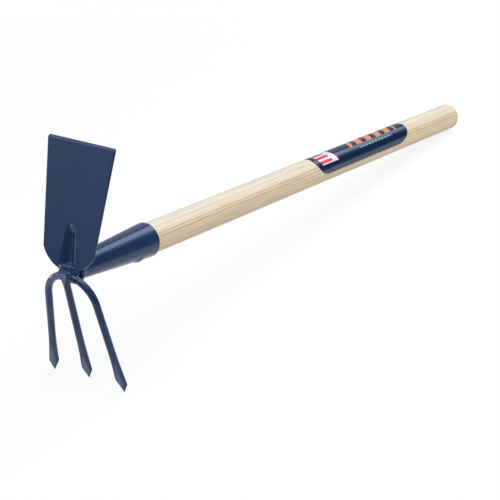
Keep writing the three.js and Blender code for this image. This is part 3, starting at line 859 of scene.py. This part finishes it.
# The forged head on a cubic curve that bends back into the straight bar, and a spear point. The
# head's width and thickness follow their tables down it, and a ripple fades out with it.
def makeMiddleTine():
    tip = np.array([fork["reach"], 0, -fork["middleDrop"]])
    foot = np.array([fork["headFootSetback"], 0, -fork["headDrop"]])
    straight = unit(tip - foot)
    top = np.array([fork["headSetback"], 0, fork["headRise"]])
    third = (fork["headRise"] + fork["headDrop"]) / 3
    knots = (top, top + [-fork["headSetback"], 0, -third], foot - straight * third, foot)
    down = np.linspace(0, 1, fork["headSteps"])
    centres, tangents = cubicCurve(knots, down[:, None])
    share = np.interp(down, np.linspace(0, 1, len(fork["headWidths"])), fork["headWidths"])
    halfWidth = fork["barRadius"] + (fork["headHalfWidth"] - fork["barRadius"]) * share
    halfThickness = np.interp(down, *np.transpose(fork["headThickness"]))
    fading = smoothStep(1 - down)
    squareness = fork["circle"] + fork["headSquareness"] * fading
    head = sections(centres, tangents, halfWidth, halfThickness, squareness)
    length, seed, height = fork["headRipple"]
    head = head + ripple(head, length, seed)[..., None] * height * fading[:, None, None]
    points, faces = lofted(np.concatenate([head, spearRings(tip, straight)]))
    return makeMesh("middle_tine", points, faces, fork["sharpAngle"])


dress(makeOuterTine("left_tine", 1), coat, "tine_left")
dress(makeMiddleTine(), coat, "tine_middle")
dress(makeOuterTine("right_tine", -1), coat, "tine_right")

# Welds

welds = {
    "stepHeight": 0.1,  # of a bead's small steps, as a share of its size
    "stepDrift": (2.0, 3),  # how far the steps wander, and in how many waves
    "swell": 0.08,  # of its slow swelling
    "sharpAngle": 60.0,
}


# The uneven size of a bead: small steps whose phase wanders, and a slow swelling.
def weldSteps(turn, quick, slow, phase):
    drift, driftWaves = welds["stepDrift"]
    steps = np.sin(quick * turn + drift * np.sin(driftWaves * turn))
    return welds["stepHeight"] * steps + welds["swell"] * np.sin(slow * turn + phase)


socketBead = {
    "along": 3.3,
    "out": 2.3,
    "setback": 0.6,
    "sink": 0.5,
    "innerRadius": 7.5,
    "waves": (17, 5, 1),  # of the steps and the swelling, and the swelling's phase
    "sides": 160,
    "steps": 17,
}


# A bead round the socket's narrow end: half an ellipse across, carried round, its size uneven.
def makeSocketWeld():
    turn = np.linspace(0, 2 * np.pi, socketBead["sides"], endpoint=False)[:, None]
    across = np.linspace(0, np.pi, socketBead["steps"])
    size = 1 + weldSteps(turn, *socketBead["waves"]) * np.sin(across)
    x = socket["setback"] - socketBead["setback"] - socketBead["along"] * size * np.cos(across)
    radius = socket["endRadius"] - socketBead["sink"] + socketBead["out"] * size * np.sin(across)
    x = np.concatenate([x, x[:, ::-1]], axis=1)
    radius = np.concatenate([radius, np.full_like(radius, socketBead["innerRadius"])], axis=1)
    rings = np.stack([x, radius * np.cos(turn), radius * np.sin(turn)], axis=-1)
    rings = np.concatenate([rings, rings[:1]])
    points, faces = lofted(rings, capped=False)
    return makeMesh("socket_weld", points, faces)


bladeBead = {
    "radius": 1.9,
    "waves": (19, 7, 2),
    "endShare": 0.25,  # of the radius, at the bead's ends
    "endSlope": 4.0,  # how soon the bead is full, where 1 is at its middle
    "endPower": 0.5,
    "steps": 90,
    "sides": 24,
}


# A bead along the seam between the neck and the blade's back, over the rib of the groove: circles
# across the seam, on the neck's radius where it meets the plate. They shrink at the ends.
def makeBladeWeld():
    edgeRise = blade["rootRise"] + arcRadius - np.sqrt(arcRadius ** 2 - socket["endRadius"] ** 2)
    low = np.arcsin((edgeRise + bladeBead["radius"]) / socket["endRadius"])
    angle = np.linspace(low, np.pi - low, bladeBead["steps"])
    rise = socket["endRadius"] * np.sin(angle)
    height = np.maximum(0, (rise - blade["rootRise"]) / np.cos(lean))
    depth = grooveDepth(socket["endRadius"] * np.cos(angle), height) + blade["thickness"]
    x = rise * np.tan(lean) + depth / np.cos(lean)
    share = (x - neck["noseSetback"]) / (socket["setback"] - neck["noseSetback"])
    away = (neck["noseRadius"] + share * (socket["endRadius"] - neck["noseRadius"])
            + bladeBead["radius"] / 2)
    path = np.stack([x, away * np.cos(angle), away * np.sin(angle)], axis=-1)
    out = np.stack([np.zeros_like(angle), np.cos(angle), np.sin(angle)], axis=-1)
    full = np.minimum(1, np.sin(np.linspace(0, np.pi, len(angle))) * bladeBead["endSlope"])
    full = bladeBead["endShare"] + (1 - bladeBead["endShare"]) * full ** bladeBead["endPower"]
    radii = (bladeBead["radius"] * full * (1 + weldSteps(angle, *bladeBead["waves"])))[:, None]
    turn = np.linspace(0, 2 * np.pi, bladeBead["sides"], endpoint=False)
    rings = path[:, None, :] + out[:, None, :] * (radii * np.cos(turn))[..., None]
    rings[..., 0] += radii * np.sin(turn)
    points, faces = lofted(rings)
    return makeMesh("blade_weld", points, faces)


groovePad = {
    "middle": (2.9, -0.4, 2.9),
    "halfSizes": (3.3, 10.4, 4.6),
    "squareness": 2.7,
    "ripple": (4.5, 11, 0.3),  # its length, its seed and its height
    "poleGap": 0.02,  # radians from the poles to the first rings
    "around": 72,
    "along": 40,
}


# Weld metal that fills the groove's foot from side to side behind the forged head: a closed
# superellipsoid, powers of cosines and sines of two angles times its half sizes, with a ripple.
def makeGrooveWeld():
    turn = np.linspace(0, 2 * np.pi, groovePad["around"], endpoint=False)
    pole = np.pi / 2 - groovePad["poleGap"]
    lift = np.linspace(-pole, pole, groovePad["along"])[:, None]

    # A number's size to a power under 1, with its sign kept.
    def bent(value):
        return np.sign(value) * np.abs(value) ** (2 / groovePad["squareness"])

    y = bent(np.sin(lift)) * np.ones_like(turn)
    x = bent(np.cos(lift)) * bent(np.cos(turn))
    z = bent(np.cos(lift)) * bent(np.sin(turn))
    pad = np.stack([x, y, z], axis=-1) * np.array(groovePad["halfSizes"])
    length, seed, height = groovePad["ripple"]
    pad += unit(pad) * (ripple(pad, length, seed) * height)[..., None]
    points, faces = lofted(pad + np.array(groovePad["middle"]))
    return makeMesh("groove_weld", points, faces, welds["sharpAngle"])


rootBead = {
    "width": 5.0,  # along the tine, out from the head
    "thickness": 1.7,
    "thinning": 1.6,  # the power of the way along by which it thins
    "sink": 0.25,  # how far its end lies inside the bar
    "ripple": (2.8, 7, 0.4),  # its length, its seed and its height
    "steps": 48,
}


# A lumpy bead round an outer tine's root: circles along the arch, thick against the forged head,
# which thin by a power of the way until they sink into the bar.
def makeRootWeld(name, side):
    start = np.arcsin((fork["headHalfWidth"] - fork["barRadius"]) / crownRadius)
    end = np.arcsin((fork["headHalfWidth"] + rootBead["width"]) / crownRadius)
    share = np.linspace(0, 1, rootBead["steps"])
    centre, tangent = crownAt(side, start + (end - start) * share)
    thickness = rootBead["thickness"] * (1 - share ** rootBead["thinning"]) - rootBead["sink"]
    radius = fork["barRadius"] + thickness
    rings = sections(centre, tangent, radius, radius, fork["circle"])
    length, seed, height = rootBead["ripple"]
    lumps = ripple(rings, length, seed + side) * height * np.sin(np.pi * share)[:, None]
    rings = rings + unit(rings - centre[:, None, :]) * lumps[..., None]
    points, faces = lofted(rings)
    return makeMesh(name, points, faces, welds["sharpAngle"])


dress(makeSocketWeld(), coat, "weld_socket")
dress(makeBladeWeld(), coat, "weld_blade")
dress(makeGrooveWeld(), coat, "weld_groove")
dress(makeRootWeld("left_root_weld", 1), coat, "weld_tine_left")
dress(makeRootWeld("right_root_weld", -1), coat, "weld_tine_right")

# Nail

nail = {
    "headRadius": 6.0,
    "headHeight": 1.15,
    "rim": 0.1,
    "skirt": 1.2,  # how deep the head's side reaches into the socket's wall
    "fromMouth": 21.2,
    "angle": -56.0,
    "centreShare": 0.01,  # of the radius, at the dome's innermost ring
    "rings": 14,
    "sides": 64,
}


# A low domed head, a parabola across, that follows the socket's curve, with its side sunk into it.
def makeNail():
    angle = np.radians(nail["angle"])
    x = mouthX - nail["fromMouth"]
    rise = (mouthRadius - socket["endRadius"]) / socket["length"]
    out = unit(np.array([-rise, -np.cos(angle), np.sin(angle)]))
    along = unit(np.array([1.0, 0, 0]) - out[0] * out)
    side = np.cross(out, along)
    centre = np.array([x, -socketRadius(x) * np.cos(angle), socketRadius(x) * np.sin(angle)])
    share = np.linspace(1, nail["centreShare"], nail["rings"])
    radius = nail["headRadius"] * np.concatenate([[1], share])[:, None]
    dome = nail["rim"] + (nail["headHeight"] - nail["rim"]) * (1 - share ** 2)
    height = np.concatenate([[-nail["skirt"]], dome])[:, None]
    turn = np.linspace(0, 2 * np.pi, nail["sides"], endpoint=False)
    across = radius * np.sin(turn)
    sink = across ** 2 / (2 * socketRadius(x))
    rings = (centre + along * (radius * np.cos(turn))[..., None] + side * across[..., None]
             + out * (height - sink)[..., None])
    points, faces = lofted(rings)
    return makeMesh("socket_nail_head", points, faces)


dress(makeNail(), coat, "socket_nail")

# Camera

# Where the photograph's camera stood, in metres, as far as the tool's outline tells.
camera = {
    "place": (-1.32081, -0.87328, 0.76607),
    "forward": (0.735156, 0.515100, -0.440696),
    "right": (0.556972, -0.829540, -0.040464),
    "lens": 118.656,
    "sensor": 36.0,
}


# A camera that looks forward from its place, and whose up is square to its right and forward.
def makeCamera():
    data = bpy.data.cameras.new("camera")
    data.lens = camera["lens"]
    data.sensor_width = camera["sensor"]
    eye = bpy.data.objects.new("camera", data)
    bpy.context.scene.collection.objects.link(eye)
    forward = Vector(camera["forward"]).normalized()
    right = Vector(camera["right"]).normalized()
    up = right.cross(forward).normalized()
    turn = Matrix([right, up, -forward]).transposed()
    eye.matrix_world = Matrix.Translation(Vector(camera["place"])) @ turn.to_4x4()
    bpy.context.scene.camera = eye


makeCamera()
print("set the camera")

# Studio

paper = {
    "size": 4.0,
    "colour": "#eaeaea",
    "white": 0.86,  # the share of plain white in what the camera sees of it near the tool
    "sheet": (0.5, 1.1),  # m from the middle, between which it turns plain white to the camera
    "glossShare": 0.96,  # how much of what gloss sees of it is the glow below
    # Its glow on each side of the tool: m across or along it, and a level or a share there.
    "rightGlow": {
        "across": ((-1.9, 0.02), (-0.7, 0.04), (-0.42, 0.08), (-0.3, 0.3), (-0.24, 0.82), (-0.15, 1.0),
                   (-0.1, 1.15), (0.0, 1.3)),
        "along": ((-0.66, 0.06), (-0.52, 0.3), (-0.4, 0.4), (-0.38, 0.95), (-0.355, 1.0), (-0.335, 0.5),
                  (-0.29, 0.5), (-0.24, 0.6), (-0.05, 0.72), (0.2, 1.05), (0.5, 1.2)),
    },
    "leftGlow": {
        "across": ((0.0, 1.35), (0.12, 1.15), (0.22, 0.9), (0.4, 0.45), (0.55, 0.45), (0.8, 1.3),
                   (1.3, 2.6), (1.9, 2.6)),
        "along": ((-1.4, 0.08), (-0.9, 0.3), (-0.75, 0.7), (-0.62, 1.7), (-0.52, 1.5), (-0.45, 0.95),
                  (-0.25, 0.95), (-0.12, 0.62)),
    },
    "glowColours": ((1.0, 1.0, 1.0), (0.94, 1.0, 1.1)),
    # One side's glow turns to the other's where y plus the second number times x is the first, in m.
    # The third is half the turn.
    "glowTurn": (-0.05, 0.27, 0.025),
    "tipLine": (-0.36, 0.022),  # the strip shaded by the tips: its middle and half width, m along
    "tipPitch": 0.041,  # m from tip to tip
    "tipGlow": 0.012,  # m to the left of each tip, where the strip is brightest
    "tipShade": 0.75,
}


# What gloss sees of the paper: a colour and a level at each place. On each side of the tool the
# level is a ramp across it times a ramp along it, and the tips shade a strip in waves.
def paperGlow(tree, ahead, aside):
    # A ramp through stops of a place and a level. It runs from 0 to 1, so the highest level scales it.
    def level(stops, source):
        first, last = stops[0][0], stops[-1][0]
        most = max(value for _, value in stops)
        step = addNode(tree, "ShaderNodeMapRange", None,
                       {"From Min": first, "From Max": last}, {"Value": source})[0]
        colours = [((at - first) / (last - first), (value / most,) * 3 + (1,)) for at, value in stops]
        shade = addNode(tree, "ShaderNodeValToRGB", None, None, {"Fac": step}, colours)["Color"]
        return addNode(tree, "ShaderNodeMath", {"operation": "MULTIPLY"}, {1: most}, {0: shade})[0]

    sides = [addNode(tree, "ShaderNodeMath", {"operation": "MULTIPLY"}, None,
                     {0: level(paper[side]["across"], aside), 1: level(paper[side]["along"], ahead)})[0]
             for side in ("rightGlow", "leftGlow")]
    middle, slant, half = paper["glowTurn"]
    slanted = addNode(tree, "ShaderNodeMath", {"operation": "MULTIPLY_ADD"},
                      {1: slant}, {0: ahead, 2: aside})[0]
    turn = addNode(tree, "ShaderNodeMapRange", {"interpolation_type": "SMOOTHSTEP"},
                   {"From Min": middle - half, "From Max": middle + half}, {"Value": slanted})[0]
    glow = addNode(tree, "ShaderNodeMix", {"data_type": "FLOAT"}, None,
                   {0: turn, 2: sides[0], 3: sides[1]})[0]
    right, left = ((*colour, 1) for colour in paper["glowColours"])
    colour = addNode(tree, "ShaderNodeMix", {"data_type": "RGBA"}, {6: right, 7: left}, {0: turn})[2]

    waves = 2 * np.pi / paper["tipPitch"]
    wave = addNode(tree, "ShaderNodeMath", {"operation": "MULTIPLY_ADD"},
                   {1: waves, 2: -waves * paper["tipGlow"]}, {0: aside})[0]
    crest = addNode(tree, "ShaderNodeMath", {"operation": "COSINE"}, None, {0: wave})[0]
    near = addNode(tree, "ShaderNodeMath", {"operation": "COMPARE"},
                   {1: paper["tipLine"][0], 2: paper["tipLine"][1]}, {0: ahead})[0]
    trough = addNode(tree, "ShaderNodeMapRange", None,
                     {"From Min": -1.0, "From Max": 1.0, "To Min": paper["tipShade"], "To Max": 0.0},
                     {"Value": crest})[0]
    shade = addNode(tree, "ShaderNodeMath", {"operation": "MULTIPLY"}, None, {0: near, 1: trough})[0]
    unshaded = addNode(tree, "ShaderNodeMath", {"operation": "SUBTRACT"}, {0: 1.0}, {1: shade})[0]
    strength = addNode(tree, "ShaderNodeMath", {"operation": "MULTIPLY"}, None,
                       {0: glow, 1: unshaded})[0]
    return colour, strength


# Matt white paper. The camera sees it lit and shaded under the tool, and plain white further out.
# Gloss sees its glow.
def makeFloor():
    half = paper["size"] / 2
    mesh = bpy.data.meshes.new("floor")
    corners = [(-half, -half, 0), (half, -half, 0), (half, half, 0), (-half, half, 0)]
    mesh.from_pydata(corners, [], [(0, 1, 2, 3)])
    floor = bpy.data.objects.new("floor", mesh)
    bpy.context.scene.collection.objects.link(floor)
    material, tree, shader = newMaterial("white_paper")
    shader.inputs["Base Color"].default_value = linear(paper["colour"])
    shader.inputs["Roughness"].default_value = 1.0
    shader.inputs["Specular IOR Level"].default_value = 0.0
    place = addNode(tree, "ShaderNodeTexCoord")["Object"]
    ray = addNode(tree, "ShaderNodeLightPath")

    reach = addNode(tree, "ShaderNodeVectorMath", {"operation": "LENGTH"}, None, {0: place})["Value"]
    far = addNode(tree, "ShaderNodeMapRange", {"interpolation_type": "SMOOTHSTEP"},
                  {"From Min": paper["sheet"][0], "From Max": paper["sheet"][1],
                   "To Min": paper["white"], "To Max": 1.0}, {"Value": reach})[0]
    share = addNode(tree, "ShaderNodeMath", {"operation": "MULTIPLY"}, None,
                    {0: far, 1: ray["Is Camera Ray"]})[0]
    white = addNode(tree, "ShaderNodeEmission", None, {"Color": (1, 1, 1, 1), "Strength": 1.0})[0]
    seen = addNode(tree, "ShaderNodeMixShader", None, None,
                   {0: share, 1: shader.outputs[0], 2: white})[0]

    parts = addNode(tree, "ShaderNodeSeparateXYZ", None, None, {0: place})
    colour, strength = paperGlow(tree, parts["X"], parts["Y"])
    lit = addNode(tree, "ShaderNodeEmission", None, None, {"Color": colour, "Strength": strength})[0]
    gloss = addNode(tree, "ShaderNodeMath", {"operation": "MAXIMUM"}, None,
                    {0: ray["Is Glossy Ray"], 1: ray["Is Transmission Ray"]})[0]
    bright = addNode(tree, "ShaderNodeMath", {"operation": "MULTIPLY"},
                     {1: paper["glossShare"]}, {0: gloss})[0]
    mixed = addNode(tree, "ShaderNodeMixShader", None, None, {0: bright, 1: seen, 2: lit})[0]
    tree.links.new(mixed, tree.nodes["Material Output"].inputs[0])
    floor.data.materials.append(material)


# One soft box overhead, two dimmer ones that soften its right edge, and a small card to the left of
# the head. All lengths are in metres, and a radiance of 1 is white.
lamps = {
    "softbox": {"place": (1.1, -0.03, 1.2), "aim": (1.1, -0.03, 0.0), "size": (4.4, 0.8),
                "radiance": 1.95},
    "softboxStep": {"place": (1.1, -0.53, 1.21), "aim": (1.1, -0.53, 0.0), "size": (4.5, 0.2),
                    "radiance": 0.75},
    "softboxEdge": {"place": (1.1, -0.55, 1.22), "aim": (1.1, -0.55, 0.0), "size": (4.6, 1.3),
                    "radiance": 0.47},
    "sideCard": {"place": (-0.45, 0.5, 0.09), "aim": (-0.45, 0, 0.09), "size": (0.36, 0.13),
                 "radiance": 1.7},
}
lampColour = (0.90, 0.97, 1.10)


# A flat lamp whose power gives its face the radiance: the radiance times pi times its area.
def makeLamp(name, place, aim, size, radiance):
    data = bpy.data.lights.new(name, "AREA")
    data.shape = "RECTANGLE"
    data.size, data.size_y = size
    data.energy = radiance * np.pi * size[0] * size[1]
    data.color = lampColour
    lamp = bpy.data.objects.new(name, data)
    bpy.context.scene.collection.objects.link(lamp)
    lamp.location = place
    lamp.rotation_euler = (Vector(aim) - Vector(place)).to_track_quat("-Z", "Y").to_euler()
    lamp.visible_camera = False


# The room's x, y and z are those of a direction of length 1: backwards, to the left and up.
room = {
    "colour": (0.95, 0.99, 1.05),
    "dark": 0.04,  # to the camera's right, as gloss shows it
    "grey": 0.52,  # the pale wall to its left
    "corner": (0.1, 0.45),  # y, between which the dark turns to the wall
    "foot": 0.1,  # the wall's level at its foot, as a share
    "wallRise": (-0.06, 0.12),  # z, between which the wall rises to its full level
    "high": 0.65,  # how much brighter the room is high in front of the tool
    "highRise": (0.55, 0.72),  # z, between which it gets so
    "highFront": -0.1,  # x, in front of which it is
    "fill": (0.80, 0.26),  # the room's light on matt surfaces, from the right and from the left
    "fillColour": "#fffaf2",
}


# A room that is dark on one side and pale on the other to gloss, soft light to matt surfaces, and
# plain white to the camera.
def makeWorld():
    world = bpy.data.worlds.new("studio")
    bpy.context.scene.world = world
    world.use_nodes = True
    tree = world.node_tree
    tree.nodes.clear()
    way = addNode(tree, "ShaderNodeTexCoord")["Generated"]
    parts = addNode(tree, "ShaderNodeSeparateXYZ", None, None, {0: way})
    x, y, z = parts["X"], parts["Y"], parts["Z"]
    wall = addNode(tree, "ShaderNodeMapRange", None,
                   {"From Min": room["wallRise"][0], "From Max": room["wallRise"][1],
                    "To Min": room["grey"] * room["foot"], "To Max": room["grey"]}, {"Value": z})[0]
    level = addNode(tree, "ShaderNodeMapRange", {"interpolation_type": "SMOOTHSTEP"},
                    {"From Min": room["corner"][0], "From Max": room["corner"][1],
                     "To Min": room["dark"]}, {"Value": y, "To Max": wall})[0]
    above = addNode(tree, "ShaderNodeMapRange", {"interpolation_type": "SMOOTHSTEP"},
                    {"From Min": room["highRise"][0], "From Max": room["highRise"][1],
                     "To Max": room["high"]}, {"Value": z})[0]
    front = addNode(tree, "ShaderNodeMath", {"operation": "LESS_THAN"},
                    {1: room["highFront"]}, {0: x})[0]
    total = addNode(tree, "ShaderNodeMath", {"operation": "MULTIPLY_ADD"}, None,
                    {0: above, 1: front, 2: level})[0]
    walls = addNode(tree, "ShaderNodeBackground", None,
                    {"Color": (*room["colour"], 1)}, {"Strength": total})[0]
    soft = addNode(tree, "ShaderNodeMapRange", None,
                   {"From Min": -1.0, "From Max": 1.0,
                    "To Min": room["fill"][0], "To Max": room["fill"][1]}, {"Value": y})[0]
    fill = addNode(tree, "ShaderNodeBackground", None,
                   {"Color": linear(room["fillColour"])}, {"Strength": soft})[0]
    white = addNode(tree, "ShaderNodeBackground", None, {"Color": (1, 1, 1, 1), "Strength": 1.0})[0]
    ray = addNode(tree, "ShaderNodeLightPath")
    lit = addNode(tree, "ShaderNodeMixShader", None, None,
                  {0: ray["Is Diffuse Ray"], 1: walls, 2: fill})[0]
    mixed = addNode(tree, "ShaderNodeMixShader", None, None,
                    {0: ray["Is Camera Ray"], 1: lit, 2: white})[0]
    addNode(tree, "ShaderNodeOutputWorld", None, None, {0: mixed})


makeFloor()
for name, lamp in lamps.items():
    makeLamp(name, **lamp)
makeWorld()
bpy.context.scene.view_settings.view_transform = "Standard"
print("lit the studio")
